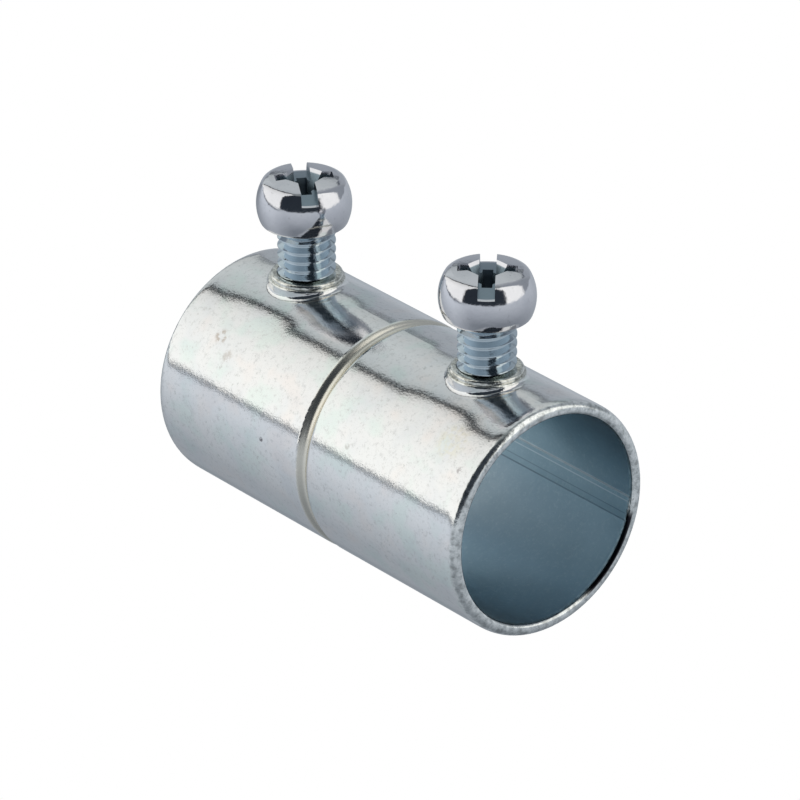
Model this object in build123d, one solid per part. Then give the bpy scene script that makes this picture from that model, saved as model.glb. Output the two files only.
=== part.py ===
"""Steel set-screw coupling that joins two lengths of 3/4-inch thin-wall conduit (EMT).

The body is a welded steel tube. A groove rolled round its middle leaves a ring inside the bore,
which stops each conduit. Two bosses are drawn up out of the wall and tapped 1/4-24. Each holds a
short screw, which is turned down on to the conduit.

Frame: the origin is the middle of the coupling, on the bore's axis. +X runs along the bore to the
front mouth, and +Z points from the bore's axis to the screws. All sizes are in millimetres.
"""
from build123d import *
import math
import os

# The conduit that goes in, and its room in the bore
CONDUIT_DIAMETER = 23.42
CONDUIT_CLEARANCE = 0.10

# Tube
LENGTH = 50.0
WALL = 1.44
MOUTH_OUTER_ROUND = 0.90
MOUTH_OUTER_RUN = 1.30
MOUTH_INNER_ROUND = 0.38

# Rolled groove outside, and the stop ring that it raises inside
GROOVE_WIDTH = 2.2
GROOVE_DEPTH = 0.50
STOP_HEIGHT = 0.60
STOP_LAND = 0.60
STOP_FLANK = 1.10

# Trimmed inside bead of the tube's weld, below the middle of the wall on the +Y side
SEAM_ANGLE = -12.5
SEAM_WIDTH = 2.5
SEAM_HEIGHT = 0.12

# Screw thread, 1/4-24 right-hand, with a loose fit in the boss
THREAD_DIAMETER = 6.35
THREAD_PITCH = 1.058
THREAD_CLEARANCE = 0.12
THREAD_FLANK_ANGLE = 30.0
THREAD_CREST = 0.13
THREAD_HEIGHT = 0.65
TAPPED_THREAD_DEPTH = 0.52

# Tapped bosses: each screw's distance from its own mouth, and the collar round it
FRONT_SCREW_INSET = 10.2
REAR_SCREW_INSET = 9.7
BOSS_HEIGHT = 1.05
BOSS_LIP_WALL = 0.66
BOSS_LIP_ROUND = 0.30
BOSS_STEP = 0.25
BOSS_STEP_HEIGHT = 0.55
BOSS_FILLET = 0.45
BOSS_MOUTH_DEPTH = 0.55
BOSS_MOUTH_FLARE = 0.95
BOSS_ROOT_DEPTH = 1.05

# Screws
POINT_GAP = 0.45
SCREW_LENGTH = 7.94
POINT_LENGTH = 0.50
POINT_CLEARANCE = 0.26
NECK_CLEARANCE = 0.08
NECK_LENGTH = 0.55
NECK_FILLET = 0.30
HEAD_HEIGHT = 5.25
HEAD_DIAMETER = 10.37
HEAD_SIDE_RADIUS = 5.10
HEAD_WIDEST_DEPTH = 3.00
HEAD_SHOULDER_DEPTH = 0.55
HEAD_FLAT_DIAMETER = 7.60
HEAD_CROWN = 0.28
HEAD_BOTTOM_ROUND = 0.35

# Directions, outward and upward, in which the head's rounds leave the underside and meet the crown
LEAVES_UNDERSIDE = (1, 0.1)
MEETS_CROWN = (-1, 0.35)

# How far each head stands off the axis of its own thread
FRONT_HEAD_OFFSET = (0.0, 0.0)
REAR_HEAD_OFFSET = (-0.23, 0.04)

# Combined slot and cross recess in each head
SLOT_WIDTH = 1.80
SLOT_DEPTH = 1.55
SLOT_CROWN = 0.52
RECESS_DEPTH = 3.10
RECESS_SPAN = 6.60
RECESS_WING = 1.56
RECESS_SHOULDER = 4.20
RECESS_BOTTOM_SPAN = 1.80
RECESS_BOTTOM_WING = 0.60
RECESS_BOTTOM_SHOULDER = 1.20

# Turn of each screw about its own axis, from a slot along Y
FRONT_SCREW_TURN = 48.0
REAR_SCREW_TURN = 59.0

# How far solids run into or past each other before they are joined or cut
OVERRUN = 0.5
THREAD_KNEE = 0.05
THREAD_SINK = 0.25
HEAD_SINK = 0.2

# Sizes that follow from those above
BORE_R = CONDUIT_DIAMETER / 2 + CONDUIT_CLEARANCE
TUBE_R = BORE_R + WALL
HALF_LENGTH = LENGTH / 2
FRONT_SCREW_X = HALF_LENGTH - FRONT_SCREW_INSET
REAR_SCREW_X = REAR_SCREW_INSET - HALF_LENGTH
THREAD_R = THREAD_DIAMETER / 2
ROOT_R = THREAD_R - THREAD_HEIGHT
TAPPED_HOLE_R = THREAD_R - TAPPED_THREAD_DEPTH
NECK_R = TAPPED_HOLE_R - NECK_CLEARANCE
POINT_R = TAPPED_HOLE_R - POINT_CLEARANCE
TAPPED_R = THREAD_R + THREAD_CLEARANCE
LIP_R = TAPPED_R + BOSS_LIP_WALL
LIP_Z = TUBE_R + BOSS_HEIGHT
POINT_Z = BORE_R + POINT_GAP
SHANK_Z = POINT_Z + POINT_LENGTH
HEAD_Z = POINT_Z + SCREW_LENGTH
RIM_Z = HEAD_Z + HEAD_HEIGHT


def ogee(start, run, rise):
    """Two equal arcs that leave start level, move by run and rise, and arrive level."""
    angle = 2 * math.degrees(math.atan2(abs(rise), abs(run)))
    radius = abs(run) / (2 * math.sin(math.radians(angle)))
    bend = angle if rise * run > 0 else -angle
    first = JernArc(start, (math.copysign(1, run), 0), radius, bend)
    second = JernArc(first @ 1, first % 1, radius, -bend)
    return [first, second]


def tube_half_section():
    """Half of the wall's section, from the middle of the groove to the front mouth."""
    groove = ogee((0, TUBE_R - GROOVE_DEPTH), GROOVE_WIDTH / 2, GROOVE_DEPTH)
    outer_end = (HALF_LENGTH - MOUTH_OUTER_RUN, TUBE_R)
    mouth_top = (HALF_LENGTH, TUBE_R - MOUTH_OUTER_ROUND)
    mouth_bottom = (HALF_LENGTH, BORE_R + MOUTH_INNER_ROUND)
    inner_end = (HALF_LENGTH - MOUTH_INNER_ROUND, BORE_R)
    stop_foot = (STOP_LAND / 2 + STOP_FLANK, BORE_R)
    stop_crest = (STOP_LAND / 2, BORE_R - STOP_HEIGHT)
    outline = [
        *groove,
        Line((GROOVE_WIDTH / 2, TUBE_R), outer_end),
        Spline(outer_end, mouth_top, tangents=[(1, 0), (0, -1)]),
        Line(mouth_top, mouth_bottom),
        JernArc(mouth_bottom, (0, -1), MOUTH_INNER_ROUND, -90),
        Line(inner_end, stop_foot),
        *ogee(stop_foot, -STOP_FLANK, -STOP_HEIGHT),
        Line(stop_crest, (0, BORE_R - STOP_HEIGHT)),
        Line((0, BORE_R - STOP_HEIGHT), (0, TUBE_R - GROOVE_DEPTH)),
    ]
    return make_face(outline)


def tube():
    """The plain grooved tube, with the stop ring inside."""
    half = tube_half_section()
    section = half + mirror(half, about=Plane.YZ)
    return revolve(Plane.XZ * section, axis=Axis.X)


def weld_bead():
    """A low flat strip that stands in from the bore's wall along its whole length."""
    depth = SEAM_HEIGHT + WALL / 2
    length = LENGTH - 2 * MOUTH_INNER_ROUND
    strip = Box(length, depth, SEAM_WIDTH)
    strip = Pos(0, BORE_R - SEAM_HEIGHT + depth / 2, 0) * strip
    return Rot(SEAM_ANGLE, 0, 0) * strip


def boss():
    """The stepped collar round one screw, on the Z axis and rooted in the wall."""
    step_r = LIP_R + BOSS_STEP
    step_z = TUBE_R + BOSS_STEP_HEIGHT
    root_z = TUBE_R - BOSS_ROOT_DEPTH
    outline = [
        Line((0, root_z), (step_r, root_z)),
        Line((step_r, root_z), (step_r, step_z - BOSS_STEP)),
        JernArc((step_r, step_z - BOSS_STEP), (0, 1), BOSS_STEP, 90),
        Line((LIP_R, step_z), (LIP_R, LIP_Z - BOSS_LIP_ROUND)),
        JernArc((LIP_R, LIP_Z - BOSS_LIP_ROUND), (0, 1), BOSS_LIP_ROUND, 90),
        Line((LIP_R - BOSS_LIP_ROUND, LIP_Z), (0, LIP_Z)),
        Line((0, LIP_Z), (0, root_z)),
    ]
    return revolve(Plane.XZ * make_face(outline), axis=Axis.Z)


def thread_ridge(clearance, foot_r, low, high):
    """One helical ridge round the Z axis, rooted at foot_r, and larger by the radial clearance."""
    slope = math.tan(math.radians(THREAD_FLANK_ANGLE))
    crest_r = THREAD_R + clearance
    knee_r = foot_r - THREAD_KNEE
    base_r = knee_r - THREAD_SINK
    crest = THREAD_CREST / 2
    base = crest + (crest_r - knee_r) * slope
    turns_below = math.ceil((SHANK_Z - low) / THREAD_PITCH)
    start = SHANK_Z - turns_below * THREAD_PITCH
    path = Pos(0, 0, start) * Helix(THREAD_PITCH, high - start, ROOT_R)
    lower = [(base_r, -base), (knee_r, -base), (crest_r, -crest)]
    upper = [(crest_r, crest), (knee_r, base), (base_r, base)]
    section = Pos(0, 0, start) * (Plane.XZ * Polygon(*lower, *upper, align=None))
    return sweep(section, path=path, is_frenet=True)


def tapped_hole():
    """What is cut out of one boss in turn: its thread, its hole, and the flare left by drawing."""
    low = BORE_R - 2 * THREAD_PITCH
    high = LIP_Z + 2 * THREAD_PITCH
    hole = Pos(0, 0, low) * Cylinder(
        TAPPED_HOLE_R, high - low, align=(Align.CENTER, Align.CENTER, Align.MIN)
    )
    mouth_top = BORE_R + BOSS_MOUTH_DEPTH
    mouth = Pos(0, 0, mouth_top) * Cone(
        TAPPED_R + BOSS_MOUTH_FLARE + OVERRUN,
        TAPPED_R,
        BOSS_MOUTH_FLARE + OVERRUN,
        align=(Align.CENTER, Align.CENTER, Align.MAX),
    )
    return [thread_ridge(THREAD_CLEARANCE, TAPPED_HOLE_R, low, high), hole, mouth]


def screw_envelope():
    """The solid that the screw's thread is trimmed to: bevelled at the point, fading at the neck."""
    top = HEAD_Z - NECK_LENGTH
    bevel = THREAD_R - POINT_R
    outline = Polyline(
        (0, SHANK_Z),
        (POINT_R, SHANK_Z),
        (THREAD_R + OVERRUN, SHANK_Z + bevel + OVERRUN),
        (THREAD_R + OVERRUN, top - THREAD_HEIGHT - OVERRUN),
        (ROOT_R, top),
        (0, top),
        close=True,
    )
    return revolve(Plane.XZ * make_face(outline), axis=Axis.Z)


def side_r(z):
    """The radius of the head's barrel side at a height."""
    rise = z - (RIM_Z - HEAD_WIDEST_DEPTH)
    return HEAD_DIAMETER / 2 - HEAD_SIDE_RADIUS + math.sqrt(HEAD_SIDE_RADIUS**2 - rise**2)


def head():
    """The barrel head, before its slot and recess."""
    flat_r = HEAD_FLAT_DIAMETER / 2
    low_z = HEAD_Z + HEAD_BOTTOM_ROUND
    wide_z = RIM_Z - HEAD_WIDEST_DEPTH
    high_z = RIM_Z - HEAD_SHOULDER_DEPTH
    crown_z = RIM_Z + HEAD_CROWN
    foot = (side_r(low_z) - HEAD_BOTTOM_ROUND, HEAD_Z)
    side = ThreePointArc((side_r(low_z), low_z), (side_r(wide_z), wide_z), (side_r(high_z), high_z))
    rim = (flat_r, RIM_Z)
    outline = [
        Line((0, HEAD_Z), foot),
        Spline(foot, side @ 0, tangents=[LEAVES_UNDERSIDE, side % 0]),
        side,
        Spline(side @ 1, rim, tangents=[side % 1, MEETS_CROWN]),
        ThreePointArc(rim, (flat_r / 2, RIM_Z + 0.75 * HEAD_CROWN), (0, crown_z)),
        Line((0, crown_z), (0, HEAD_Z)),
    ]
    return revolve(Plane.XZ * make_face(outline), axis=Axis.Z)


def shank():
    """The thread's core and the neck above it, up into the head."""
    neck_z = HEAD_Z - NECK_LENGTH
    top_z = HEAD_Z + HEAD_SINK
    outline = [
        Line((0, SHANK_Z), (ROOT_R, SHANK_Z)),
        Line((ROOT_R, SHANK_Z), (ROOT_R, neck_z - NECK_FILLET)),
        Line((ROOT_R, neck_z - NECK_FILLET), (NECK_R, neck_z)),
        Line((NECK_R, neck_z), (NECK_R, HEAD_Z - NECK_FILLET)),
        JernArc((NECK_R, HEAD_Z - NECK_FILLET), (0, 1), NECK_FILLET, -90),
        Line((NECK_R + NECK_FILLET, HEAD_Z), (NECK_R + NECK_FILLET, top_z)),
        Line((NECK_R + NECK_FILLET, top_z), (0, top_z)),
        Line((0, top_z), (0, SHANK_Z)),
    ]
    return revolve(Plane.XZ * make_face(outline), axis=Axis.Z)


def slot():
    """The slot across the head, along Y, with a floor that is highest in the middle."""
    reach = HEAD_DIAMETER / 2 + OVERRUN
    rim_floor = RIM_Z - SLOT_DEPTH
    top = RIM_Z + HEAD_CROWN + OVERRUN
    outline = [
        ThreePointArc((-reach, rim_floor), (0, rim_floor + SLOT_CROWN), (reach, rim_floor)),
        Polyline((reach, rim_floor), (reach, top), (-reach, top), (-reach, rim_floor)),
    ]
    return extrude(Plane.YZ * make_face(outline), amount=SLOT_WIDTH / 2, both=True)


def cross_outline(span, wing, shoulder):
    """A four-armed outline whose inner corners are cut off at 45 degrees."""
    tip, side, corner = span / 2, wing / 2, shoulder / 2
    quarter = [(tip, side), (corner, side), (side, corner), (side, tip)]
    points = []
    for turn in range(4):
        for x, y in quarter:
            points.append(Vector(x, y).rotate(Axis.Z, 90 * turn))
    return Polygon(*points, align=None)


def cross_recess():
    """The tapered cross recess, widest at the crown of the head."""
    top = cross_outline(RECESS_SPAN, RECESS_WING, RECESS_SHOULDER)
    bottom = cross_outline(RECESS_BOTTOM_SPAN, RECESS_BOTTOM_WING, RECESS_BOTTOM_SHOULDER)
    crown_z = RIM_Z + HEAD_CROWN
    return loft([Pos(0, 0, crown_z - RECESS_DEPTH) * bottom, Pos(0, 0, crown_z) * top], ruled=True)


def set_screw(head_offset):
    """One screw from its shank up, with its thread on the Z axis."""
    thread = thread_ridge(0, ROOT_R, SHANK_Z - THREAD_PITCH, HEAD_Z) & screw_envelope()
    slotted = head() - slot() - cross_recess()
    return shank() + thread + Pos(*head_offset, 0) * slotted


def screw_point():
    """The plain flat point below the thread of one screw, on the Z axis."""
    return Pos(0, 0, POINT_Z) * Cylinder(
        POINT_R, POINT_LENGTH, align=(Align.CENTER, Align.CENTER, Align.MIN)
    )


def coupling_body(places):
    """The tube with its weld bead, and a tapped boss at each place."""
    body = tube() + weld_bead()
    for place in places:
        body += Pos(place.position) * boss()
    foot_edges = [e for e in body.edges() if is_boss_foot(e)]
    body = fillet(foot_edges, BOSS_FILLET)
    for place in places:
        for cutter in tapped_hole():
            body -= place * cutter
    return body


def is_boss_foot(edge):
    """Whether an edge is where a boss meets the tube's outside."""
    step_r = LIP_R + BOSS_STEP
    for end in (edge @ 0, edge @ 0.5):
        from_axis = min(math.hypot(end.X - x, end.Y) for x in (FRONT_SCREW_X, REAR_SCREW_X))
        on_tube = abs(math.hypot(end.Y, end.Z) - TUBE_R) < 0.01
        if not on_tube or abs(from_axis - step_r) > 0.01 or end.Z < 0:
            return False
    return True


front = Pos(FRONT_SCREW_X, 0, 0) * Rot(0, 0, FRONT_SCREW_TURN)
rear = Pos(REAR_SCREW_X, 0, 0) * Rot(0, 0, REAR_SCREW_TURN)

nodes = {
    "coupling_body": coupling_body([front, rear]),
    "front_set_screw": front * set_screw(FRONT_HEAD_OFFSET),
    "front_screw_point": front * screw_point(),
    "rear_set_screw": rear * set_screw(REAR_HEAD_OFFSET),
    "rear_screw_point": rear * screw_point(),
}

os.makedirs("parts", exist_ok=True)
for name, shape in nodes.items():
    export_step(shape, f"parts/{name}.step")
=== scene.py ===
"""A studio picture of the steel conduit coupling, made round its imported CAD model.

Lengths are in metres unless a comment says millimetres. +X runs along the bore to the front mouth,
and +Z points from the bore to the screws.
"""
import math

import bpy
from mathutils import Matrix, Vector


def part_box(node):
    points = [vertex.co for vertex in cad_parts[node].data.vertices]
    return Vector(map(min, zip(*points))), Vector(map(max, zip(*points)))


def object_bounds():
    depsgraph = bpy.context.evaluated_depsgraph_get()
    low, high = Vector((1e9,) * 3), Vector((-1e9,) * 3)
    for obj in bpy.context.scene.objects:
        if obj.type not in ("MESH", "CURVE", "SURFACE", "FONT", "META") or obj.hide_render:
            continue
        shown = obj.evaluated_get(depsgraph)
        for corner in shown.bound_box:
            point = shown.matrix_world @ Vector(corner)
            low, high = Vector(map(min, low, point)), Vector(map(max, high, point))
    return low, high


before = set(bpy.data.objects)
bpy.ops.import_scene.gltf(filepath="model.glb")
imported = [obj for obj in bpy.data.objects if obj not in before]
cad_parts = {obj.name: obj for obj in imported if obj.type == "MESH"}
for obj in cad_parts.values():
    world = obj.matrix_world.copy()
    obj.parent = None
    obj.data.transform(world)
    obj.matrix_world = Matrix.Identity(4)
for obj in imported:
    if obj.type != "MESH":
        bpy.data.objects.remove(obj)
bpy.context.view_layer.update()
MM = 0.001


def middle(node):
    """The middle of a CAD node's box, in metres."""
    low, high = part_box(node)
    return (Vector(low) + Vector(high)) / 2


# Camera: its direction from the coupling, its distance, and its offsets up and to the right
CAMERA_AZIMUTH = math.radians(50.373)
CAMERA_ELEVATION = math.radians(26.428)
CAMERA_DISTANCE = 688.6 * MM
CAMERA_RIGHT = 0.326 * MM
CAMERA_UP = 4.084 * MM
CAMERA_LENS = 288.26

# Places on the coupling, from the frame
HALF_LENGTH, TUBE_R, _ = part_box("coupling_body")[1]
SCREW_NAMES = ("front", "rear")
RIM_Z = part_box("front_set_screw")[1][2]

# Where one finish on the tube runs into the next, in millimetres: the distances it starts and ends at
BORE_EDGE = (12.0, 12.3)
MOUTH_EDGE = (0.75, 0.45)
COLLAR_FOOT = (0.15, 0.5)
GROOVE_SIDE = (0.75, 1.05)
GROOVE_BOTTOM = (0.9, 0.7)

# The same on a screw, in millimetres below its crown
THREAD_TOP = (5.68, 5.38)
RECESS_FLOOR = (3.4, 3.3)
RECESS_SKIN = (0.18, 0.34)
# Depths at which the recess's painted shade turns darker
RECESS_DEEP_SHADE = (1.3, 1.9)

# How far the head's skin lies below its crown, as part of SKIN_DEPTH, by distance from its axis, as part
# of HEAD_R. Both are in millimetres.
HEAD_R = 5.2
SKIN_DEPTH = 4.0
HEAD_SKIN = [(0.0, 0.0), (0.73, 0.07), (0.85, 0.24), (0.91, 0.45), (0.96, 0.90)]

# The wall round each boss, slightly raised where it was drawn: its rise, and the radii it falls between
DRAW_RISE = 0.26
DRAW_EDGE = (4.0, 9.0)

# Small stains on the tube: millimetres along it, degrees from +Y over the top, reach, strength and colour
MARKS = [
    (-17.6, 139, 1.1, 0.65, (0.40, 0.33, 0.27)),
    (-15.4, 146, 0.9, 0.45, (0.42, 0.37, 0.32)),
    (-6.9, 174, 0.35, 0.9, (0.12, 0.11, 0.12)),
    (6.4, 156, 0.45, 0.6, (0.42, 0.40, 0.38)),
    (22.6, 141, 0.5, 0.7, (0.28, 0.25, 0.25)),
    (19.6, 131, 2.6, 0.30, (0.72, 0.66, 0.46)),
]

# Painted dark reflection on the front mouth's inner edge: angles above +Y (degrees), how its two ends fade
# (radians), depth from the mouth and distance from the axis (millimetres), and colour
EDGE_REFLECTION_ANGLES = (-58, -17)
EDGE_REFLECTION_FADES = (0.2, 0.1)
EDGE_REFLECTION_DEPTH = (0.5, 0.35)
EDGE_REFLECTION_RADIUS = (12.08, 12.2)
EDGE_REFLECTION_COLOUR = (0.02, 0.02, 0.025, 1)

# Painted highlights (white) and painted shade (blue-grey) on the edges of the trimmed weld bead in the bore:
# angle above +Y and half width (degrees), colour
SEAM_HIGHLIGHTS_AND_SHADES = [
    (-6.0, 0.8, (1.0, 1.0, 1.0)),
    (-8.8, 0.4, (0.92, 0.97, 1.0)),
    (-15.5, 0.35, (0.44, 0.54, 0.60)),
    (-19.2, 0.5, (0.34, 0.42, 0.48)),
]


class Tree:
    """One node tree, with short calls that add nodes and wire them."""

    def __init__(self, tree):
        self.nodes = tree.nodes
        self.links = tree.links
        self.nodes.clear()

    def feed(self, socket, value):
        """Gives a socket a value, or wires another socket to it."""
        if isinstance(value, bpy.types.NodeSocket):
            self.links.new(value, socket)
        else:
            socket.default_value = value

    def add(self, kind, inputs=(), **settings):
        """A new node with its settings, and its inputs fed by name."""
        node = self.nodes.new(kind)
        for key, value in settings.items():
            setattr(node, key, value)
        for key, value in dict(inputs).items():
            self.feed(node.inputs[key], value)
        return node

    def math(self, operation, *values):
        """The result of one sum."""
        node = self.add("ShaderNodeMath", operation=operation)
        for socket, value in zip(node.inputs, values):
            self.feed(socket, value)
        return node.outputs[0]

    def product(self, first, *others):
        """Numbers multiplied together."""
        for other in others:
            first = self.math("MULTIPLY", first, other)
        return first

    def length(self, first, second):
        """The length of a vector with these two parts."""
        squares = [self.math("POWER", part, 2.0) for part in (first, second)]
        return self.math("SQRT", self.math("ADD", *squares))

    def parts(self, vector):
        """A vector's x, y and z."""
        return self.add("ShaderNodeSeparateXYZ", {0: vector}).outputs[:]

    def step(self, value, low, high):
        """0 where value is under low, 1 where it is over high, and smooth between."""
        node = self.add("ShaderNodeMapRange", interpolation_type="SMOOTHSTEP", clamp=True)
        self.feed(node.inputs["Value"], value)
        self.feed(node.inputs["From Min"], low)
        self.feed(node.inputs["From Max"], high)
        return node.outputs["Result"]

    def fall(self, value, low, high):
        """1 where value is under low, 0 where it is over high, and smooth between."""
        return self.math("SUBTRACT", 1.0, self.step(value, low, high))

    def shifted(self, place, amount):
        """A place moved along every axis, so that one noise differs from another."""
        node = self.add("ShaderNodeVectorMath", {0: place, 1: (amount,) * 3}, operation="ADD")
        return node.outputs["Vector"]

    def mix(self, factor, first, second, blend="MIX"):
        """Two colours, mixed by factor."""
        node = self.add("ShaderNodeMix", data_type="RGBA", blend_type=blend)
        self.feed(node.inputs[0], factor)
        self.feed(node.inputs[6], first)
        self.feed(node.inputs[7], second)
        return node.outputs[2]

    def mix_value(self, factor, first, second):
        """Two numbers, mixed by factor."""
        node = self.add("ShaderNodeMix", data_type="FLOAT")
        self.feed(node.inputs[0], factor)
        self.feed(node.inputs[2], first)
        self.feed(node.inputs[3], second)
        return node.outputs[0]

    def ramp(self, value, stops):
        """A colour that follows value through stops of (position, colour)."""
        node = self.add("ShaderNodeValToRGB", {"Fac": value})
        band = node.color_ramp
        while len(band.elements) < len(stops):
            band.elements.new(1.0)
        for element, (position, colour) in zip(band.elements, stops):
            element.position = position
            element.color = (*colour[:3], 1.0)
        return node.outputs["Color"]

    def noise(self, place, size, detail, roughness):
        """Smooth noise from 0 to 1, whose features are about size millimetres across."""
        node = self.add("ShaderNodeTexNoise", {
            "Vector": place,
            "Scale": 1 / (size * MM),
            "Detail": detail,
            "Roughness": roughness,
        })
        return node.outputs["Fac"]


def grey(shade, tint):
    """The linear colour of a display shade from 0 to 255, moved by a tint."""
    return tuple(linear((shade + offset) / 255) for offset in tint)


def linear(level):
    """Display level, 0 to 1, to linear light."""
    return level / 12.92 if level <= 0.04045 else ((level + 0.055) / 1.055) ** 2.4


# Studio light, as display shades seen in bright zinc. Angles are in degrees.
METAL_REFLECTANCE = 0.72
LIGHT_SCALE = 1.4
COOL = (-5, 1, 3)
SLATE = (-6, 0, 7)
WARM = (0, 1, -1)

# Round the coupling's axis on the far side, from +Y over the top
FAR_SIDE = [
    (0, 156, SLATE), (30.5, 152, SLATE), (31.5, 84, SLATE), (34.5, 84, SLATE), (36, 172, COOL),
    (48, 182, COOL), (66, 192, COOL), (88, 184, COOL), (96.2, 172, COOL), (97.2, 16, SLATE),
    (101.8, 20, SLATE), (102.8, 198, WARM), (112, 220, WARM), (126, 229, WARM), (145, 238, WARM),
    (180.9, 243, WARM), (181.7, 92, SLATE), (184.9, 106, SLATE), (185.7, 200, SLATE), (189, 206, SLATE),
    (198, 202, SLATE), (217, 185, SLATE), (234, 171, SLATE), (250, 160, SLATE), (263, 150, SLATE),
    (290, 142, SLATE), (302, 126, SLATE), (322, 140, SLATE), (345, 165, SLATE), (360, 160, SLATE),
]
# Round the horizon on the camera's side, from azimuth -180 by way of -Y
NEAR_SIDE = [
    (-180, 140, SLATE), (-40, 238, WARM), (-14, 238, WARM), (-8, 46, SLATE), (92, 46, SLATE),
    (98, 240, WARM), (144, 240, WARM), (150, 140, SLATE), (180, 140, SLATE),
]
# Up to the horizon on the camera's side, by elevation
NEAR_BELOW = [
    (-90, 112, SLATE), (-50, 128, SLATE), (-30, 158, SLATE), (-10, 178, SLATE), (0, 184, SLATE),
]
NEAR_CEILING = (128, COOL)

# Where these meet: the first two by part of the way up from the horizon, the others by the direction's x or z
CEILING_EDGE = (0.74, 0.84)
TABLE_EDGE = (-0.01, 0.01)
SIDE_EDGE = (-0.22, -0.14)
SIDE_EDGE_BELOW = (-0.75, 0.25)
HORIZON = (-0.03, 0.0)


def lamp_colour(shade, tint):
    """The light that shows as this shade when the zinc mirrors it."""
    return tuple(level / METAL_REFLECTANCE / LIGHT_SCALE for level in grey(shade, tint))


def lamp_stops(stops, low, high):
    """Stops of (angle, shade, tint), as ramp stops."""
    return [((angle - low) / (high - low), lamp_colour(shade, tint)) for angle, shade, tint in stops]


def make_world():
    """Soft boxes, wall, ceiling and table as one surrounding light, by direction."""
    world = bpy.data.worlds.new("studio")
    world.use_nodes = True
    tree = Tree(world.node_tree)
    direction = tree.add("ShaderNodeTexCoord").outputs["Generated"]
    x, y, z = tree.parts(direction)
    turn = tree.math("ARCTAN2", z, y)
    round_axis = tree.math("FRACT", tree.math("DIVIDE", turn, 2 * math.pi))
    far = tree.ramp(round_axis, lamp_stops(FAR_SIDE, 0, 360))
    azimuth = tree.math("ARCTAN2", x, tree.math("MULTIPLY", y, -1.0))
    horizon = tree.math("ADD", tree.math("DIVIDE", azimuth, 2 * math.pi), 0.5)
    near = tree.ramp(horizon, lamp_stops(NEAR_SIDE, -180, 180))
    elevation = tree.math("DIVIDE", tree.math("ARCSINE", z), math.pi / 2)
    table = tree.ramp(tree.math("ADD", elevation, 1.0), lamp_stops(NEAR_BELOW, -90, 0))
    ceiling = (*lamp_colour(*NEAR_CEILING), 1.0)
    near = tree.mix(tree.step(elevation, *CEILING_EDGE), near, ceiling)
    near = tree.mix(tree.step(elevation, *TABLE_EDGE), table, near)
    below, above = tree.step(x, *SIDE_EDGE_BELOW), tree.step(x, *SIDE_EDGE)
    side = tree.mix_value(tree.step(z, *HORIZON), below, above)
    colour = tree.mix(side, far, near)
    light = tree.add("ShaderNodeBackground", {"Color": colour, "Strength": LIGHT_SCALE})
    out = tree.add("ShaderNodeOutputWorld")
    tree.links.new(light.outputs[0], out.inputs["Surface"])
    bpy.context.scene.world = world


def new_material(name):
    """An empty material, and its tree."""
    material = bpy.data.materials.new(name)
    material.use_nodes = True
    return material, Tree(material.node_tree)


def finish_metal(tree, colour, roughness, heights):
    """A metal surface. heights are (height from 0 to 1, depth in millimetres) for its relief."""
    normal = None
    for height, depth in heights:
        bump = tree.add("ShaderNodeBump", {"Height": height, "Distance": depth * MM})
        if normal is not None:
            tree.feed(bump.inputs["Normal"], normal)
        normal = bump.outputs["Normal"]
    shader = tree.add("ShaderNodeBsdfPrincipled", {
        "Base Color": colour,
        "Metallic": 1.0,
        "Roughness": roughness,
        "Normal": normal,
    })
    out = tree.add("ShaderNodeOutputMaterial")
    tree.links.new(shader.outputs[0], out.inputs["Surface"])


def span(edge, start=0.0, way=1):
    """An edge's two distances in metres, measured from start one way or the other."""
    return tuple(start + way * distance * MM for distance in edge)


def close_to(tree, place, point, reach):
    """1 at a point, fading to 0 at reach from it."""
    apart = tree.add("ShaderNodeVectorMath", {0: place, 1: point}, operation="DISTANCE")
    return tree.fall(apart.outputs["Value"], reach * 0.5, reach)


def on_tube(x, angle):
    """A point on the tube's outside, x millimetres along it, at an angle from +Y over the top."""
    turn = math.radians(angle)
    return (x * MM, TUBE_R * math.cos(turn), TUBE_R * math.sin(turn))


def drawn_up(tree, x, y, z):
    """1 at each boss, falling to 0 where the wall that was drawn up into it ends."""
    rise = 0.0
    for name in SCREW_NAMES:
        across = tree.math("SUBTRACT", x, middle(f"{name}_screw_point").x)
        rise = tree.math("ADD", rise, tree.fall(tree.length(across, y), *span(DRAW_EDGE)))
    return tree.product(rise, tree.math("GREATER_THAN", z, 0.0))


def bore_colour(tree, height, cloud, dust):
    """Dull blue-grey, with painted shade above the bore's middle, and painted highlight and shade lines along
    the weld bead.
    """
    colour = tree.ramp(cloud, [(0.35, (0.57, 0.69, 0.75)), (0.65, (0.62, 0.74, 0.80))])
    colour = tree.mix(tree.step(dust, 0.48, 0.75), colour, (0.74, 0.84, 0.88, 1))
    # Painted shade: the bore's wall above its middle is darkened
    colour = tree.mix(tree.product(tree.step(height, -0.1, 0.5), 0.45), colour, (0.24, 0.32, 0.38, 1))
    # The weld bead's edges: the white lines are painted highlights, the blue-grey lines painted shade
    for angle, half_width, shade in SEAM_HIGHLIGHTS_AND_SHADES:
        apart = tree.math("ABSOLUTE", tree.math("SUBTRACT", height, math.radians(angle)))
        line = tree.fall(apart, math.radians(half_width * 0.6), math.radians(half_width))
        colour = tree.mix(line, colour, (*shade, 1))
    return colour


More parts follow.
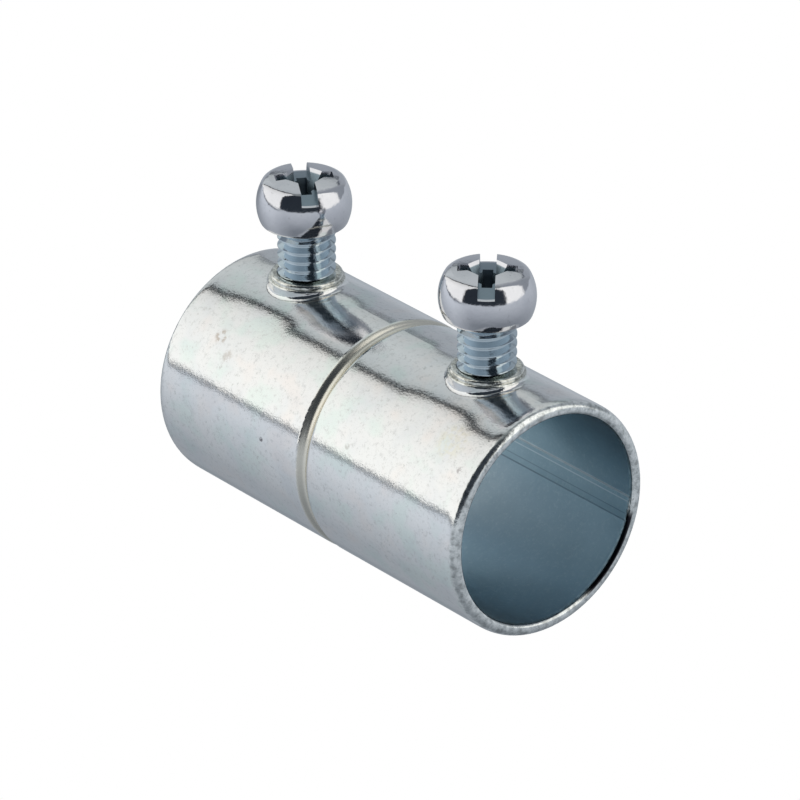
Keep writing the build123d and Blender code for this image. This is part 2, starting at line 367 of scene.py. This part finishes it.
def outside_colour(tree, place, groove, cloud, fleck, dust):
    """Bright zinc with a faint mottle, grey dust, a browner groove and the marks."""
    tint = tree.noise(tree.shifted(place, 0.05), 4.0, 2.0, 0.5)
    colour = tree.ramp(cloud, [
        (0.32, (0.70, 0.71, 0.72)), (0.50, (0.745, 0.745, 0.74)), (0.70, (0.76, 0.75, 0.74)),
    ])
    stain = tree.ramp(tint, [
        (0.36, (0.93, 1.0, 0.97)), (0.48, (1.0, 1.0, 1.0)),
        (0.56, (1.0, 1.0, 1.0)), (0.70, (1.03, 0.985, 0.965)),
    ])
    colour = tree.mix(1.0, colour, stain, "MULTIPLY")
    colour = tree.mix(tree.step(dust, 0.50, 0.72), colour, (0.56, 0.56, 0.555, 1))
    colour = tree.mix(tree.step(fleck, 0.60, 0.74), colour, (0.56, 0.565, 0.55, 1))
    colour = tree.mix(tree.product(groove, 0.8), colour, (0.74, 0.70, 0.60, 1))
    for x_mm, angle, reach, strength, shade in MARKS:
        spot = close_to(tree, place, on_tube(x_mm, angle), reach * MM)
        spot = tree.product(spot, tree.step(fleck, 0.42, 0.56), strength)
        colour = tree.mix(spot, colour, (*shade, 1))
    return colour


def painted_edge_reflection(tree, x, radius, height):
    """1 on the painted dark reflection of the front mouth's inner edge."""
    low, high = (math.radians(angle) for angle in EDGE_REFLECTION_ANGLES)
    return tree.product(
        tree.step(x, *span(EDGE_REFLECTION_DEPTH, HALF_LENGTH, -1)),
        tree.step(height, low - EDGE_REFLECTION_FADES[0], low),
        tree.fall(height, high, high + EDGE_REFLECTION_FADES[1]),
        tree.fall(radius, *span(EDGE_REFLECTION_RADIUS)),
    )


def tube_material():
    """Bright zinc on the tube: mottled outside, blue-grey and dull inside, yellowish on the collars."""
    material, tree = new_material("zinc_plated_tube")
    place = tree.add("ShaderNodeTexCoord").outputs["Object"]
    x, y, z = tree.parts(place)
    along = tree.math("ABSOLUTE", x)
    radius = tree.length(y, z)
    height = tree.math("ARCTAN2", z, y)
    inside = tree.fall(radius, *span(BORE_EDGE))
    end = tree.step(along, *span(MOUTH_EDGE, HALF_LENGTH, -1))
    collar = tree.step(z, *span(COLLAR_FOOT, TUBE_R))
    groove = tree.product(
        tree.fall(along, *span(GROOVE_SIDE)),
        tree.step(radius, *span(GROOVE_BOTTOM, TUBE_R, -1)),
    )

    cloud = tree.noise(place, 6.0, 3.0, 0.6)
    fleck = tree.noise(place, 0.7, 4.0, 0.65)
    grain = tree.noise(place, 0.30, 4.0, 0.65)
    dust = tree.noise(tree.shifted(place, 0.02), 0.5, 5.0, 0.8)
    mouth = tree.ramp(fleck, [
        (0.36, (0.46, 0.47, 0.46)), (0.46, (0.64, 0.66, 0.65)), (0.62, (0.88, 0.89, 0.87)),
    ])
    lip = tree.ramp(fleck, [
        (0.38, (0.40, 0.40, 0.36)), (0.50, (0.66, 0.66, 0.61)), (0.65, (0.80, 0.80, 0.76)),
    ])
    outside = outside_colour(tree, place, groove, cloud, fleck, dust)
    colour = tree.mix(inside, outside, bore_colour(tree, height, cloud, dust))
    colour = tree.mix(end, colour, mouth)
    # Painted dark reflection on the front mouth's inner edge
    colour = tree.mix(painted_edge_reflection(tree, x, radius, height), colour, EDGE_REFLECTION_COLOUR)
    colour = tree.mix(collar, colour, lip)

    rough = tree.mix_value(tree.step(cloud, 0.4, 0.6), 0.025, 0.05)
    rough = tree.mix_value(inside, rough, 0.34)
    rough = tree.mix_value(groove, rough, 0.30)
    rough = tree.mix_value(end, rough, 0.20)
    rough = tree.mix_value(collar, rough, 0.16)
    relief = tree.mix_value(tree.math("MAXIMUM", collar, end), grain, tree.product(fleck, 3.0))
    drawn = drawn_up(tree, x, y, z)
    finish_metal(tree, colour, rough, [(relief, 0.011), (cloud, 0.04), (drawn, DRAW_RISE)])
    return material


def screw_material(head_middle):
    """Bright zinc on a screw: lavender on the head, blue on the thread, dull in the recess, with painted
    shade there that grows darker deeper in.
    """
    material, tree = new_material("zinc_plated_screw")
    place = tree.add("ShaderNodeTexCoord").outputs["Object"]
    x, y, z = tree.parts(place)
    across = tree.math("SUBTRACT", x, head_middle.x)
    aside = tree.math("SUBTRACT", y, head_middle.y)
    part = tree.math("DIVIDE", tree.length(across, aside), HEAD_R * MM)
    skin = tree.ramp(part, [(stop, (depth,) * 3) for stop, depth in HEAD_SKIN])
    below = tree.math("SUBTRACT", tree.math("SUBTRACT", RIM_Z, z), tree.product(skin, SKIN_DEPTH * MM))
    recess = tree.product(
        tree.step(below, *span(RECESS_SKIN)),
        tree.step(z, *span(RECESS_FLOOR, RIM_Z, -1)),
    )
    deep_shade = tree.product(recess, tree.step(below, *span(RECESS_DEEP_SHADE)))
    thread = tree.fall(z, *span(THREAD_TOP, RIM_Z, -1))

    cloud = tree.noise(place, 3.0, 3.0, 0.6)
    fleck = tree.noise(place, 0.5, 4.0, 0.65)
    colour = tree.ramp(cloud, [
        (0.30, (0.60, 0.60, 0.63)), (0.55, (0.66, 0.655, 0.68)), (0.75, (0.70, 0.69, 0.71)),
    ])
    colour = tree.mix(tree.step(fleck, 0.60, 0.76), colour, (0.50, 0.50, 0.52, 1))
    colour = tree.mix(thread, colour, (0.58, 0.66, 0.71, 1))
    # Painted shade in the recess, and darker painted shade deeper in
    colour = tree.mix(recess, colour, (0.22, 0.28, 0.32, 1))
    colour = tree.mix(deep_shade, colour, (0.10, 0.13, 0.15, 1))
    rough = tree.mix_value(tree.step(cloud, 0.4, 0.6), 0.06, 0.10)
    rough = tree.mix_value(thread, rough, 0.10)
    rough = tree.mix_value(recess, rough, 0.30)
    finish_metal(tree, colour, rough, [(fleck, 0.008), (cloud, 0.04)])
    return material


def paint(node, material):
    """Gives a CAD node its material."""
    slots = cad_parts[node].data.materials
    slots.clear()
    slots.append(material)


def make_backdrop():
    """A white floor that curves up into a wall all round, seen by the camera only."""
    floor_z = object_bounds()[0][2]
    flat, bend, top, sides, steps = 1.6, 0.6, 1.6, 64, 10
    profile = [(0.0, 0.0)]
    for n in range(steps + 1):
        angle = math.pi / 2 * n / steps
        profile.append((flat + bend * math.sin(angle), bend * (1 - math.cos(angle))))
    profile.append((flat + bend, top))
    corners = [(0.0, 0.0, floor_z)]
    faces = []
    for radius, height in profile[1:]:
        for n in range(sides):
            angle = 2 * math.pi * n / sides
            corners.append((radius * math.cos(angle), radius * math.sin(angle), floor_z + height))
    for n in range(sides):
        after = (n + 1) % sides
        faces.append((0, 1 + n, 1 + after))
        for ring in range(len(profile) - 2):
            low, high = 1 + ring * sides, 1 + (ring + 1) * sides
            faces.append((low + n, high + n, high + after, low + after))
    mesh = bpy.data.meshes.new("backdrop")
    mesh.from_pydata(corners, [], faces)
    mesh.polygons.foreach_set("use_smooth", [True] * len(mesh.polygons))
    backdrop = bpy.data.objects.new("backdrop", mesh)
    material, tree = new_material("white_paper")
    light = tree.add("ShaderNodeEmission", {"Color": (1, 1, 1, 1), "Strength": 1.0})
    out = tree.add("ShaderNodeOutputMaterial")
    tree.links.new(light.outputs[0], out.inputs["Surface"])
    mesh.materials.append(material)
    for ray in ("diffuse", "glossy", "transmission", "volume_scatter", "shadow"):
        setattr(backdrop, f"visible_{ray}", False)
    bpy.context.scene.collection.objects.link(backdrop)


def make_camera():
    """The camera, level, and turned to look along its own direction from the coupling."""
    back = Vector((
        math.sin(CAMERA_AZIMUTH) * math.cos(CAMERA_ELEVATION),
        -math.cos(CAMERA_AZIMUTH) * math.cos(CAMERA_ELEVATION),
        math.sin(CAMERA_ELEVATION),
    ))
    right = Vector((math.cos(CAMERA_AZIMUTH), math.sin(CAMERA_AZIMUTH), 0))
    up = back.cross(right)
    data = bpy.data.cameras.new("camera")
    data.lens = CAMERA_LENS
    data.sensor_width = 36
    data.clip_start = 0.01
    camera = bpy.data.objects.new("camera", data)
    place = CAMERA_DISTANCE * back + CAMERA_RIGHT * right + CAMERA_UP * up
    turn = Matrix((right, up, back)).transposed().to_4x4()
    camera.matrix_world = Matrix.Translation(place) @ turn
    bpy.context.scene.collection.objects.link(camera)
    bpy.context.scene.camera = camera


bpy.context.scene.view_settings.view_transform = "Standard"
make_world()
make_backdrop()
make_camera()
paint("coupling_body", tube_material())
for name in SCREW_NAMES:
    finish = screw_material(middle(f"{name}_set_screw"))
    paint(f"{name}_set_screw", finish)
    paint(f"{name}_screw_point", finish)
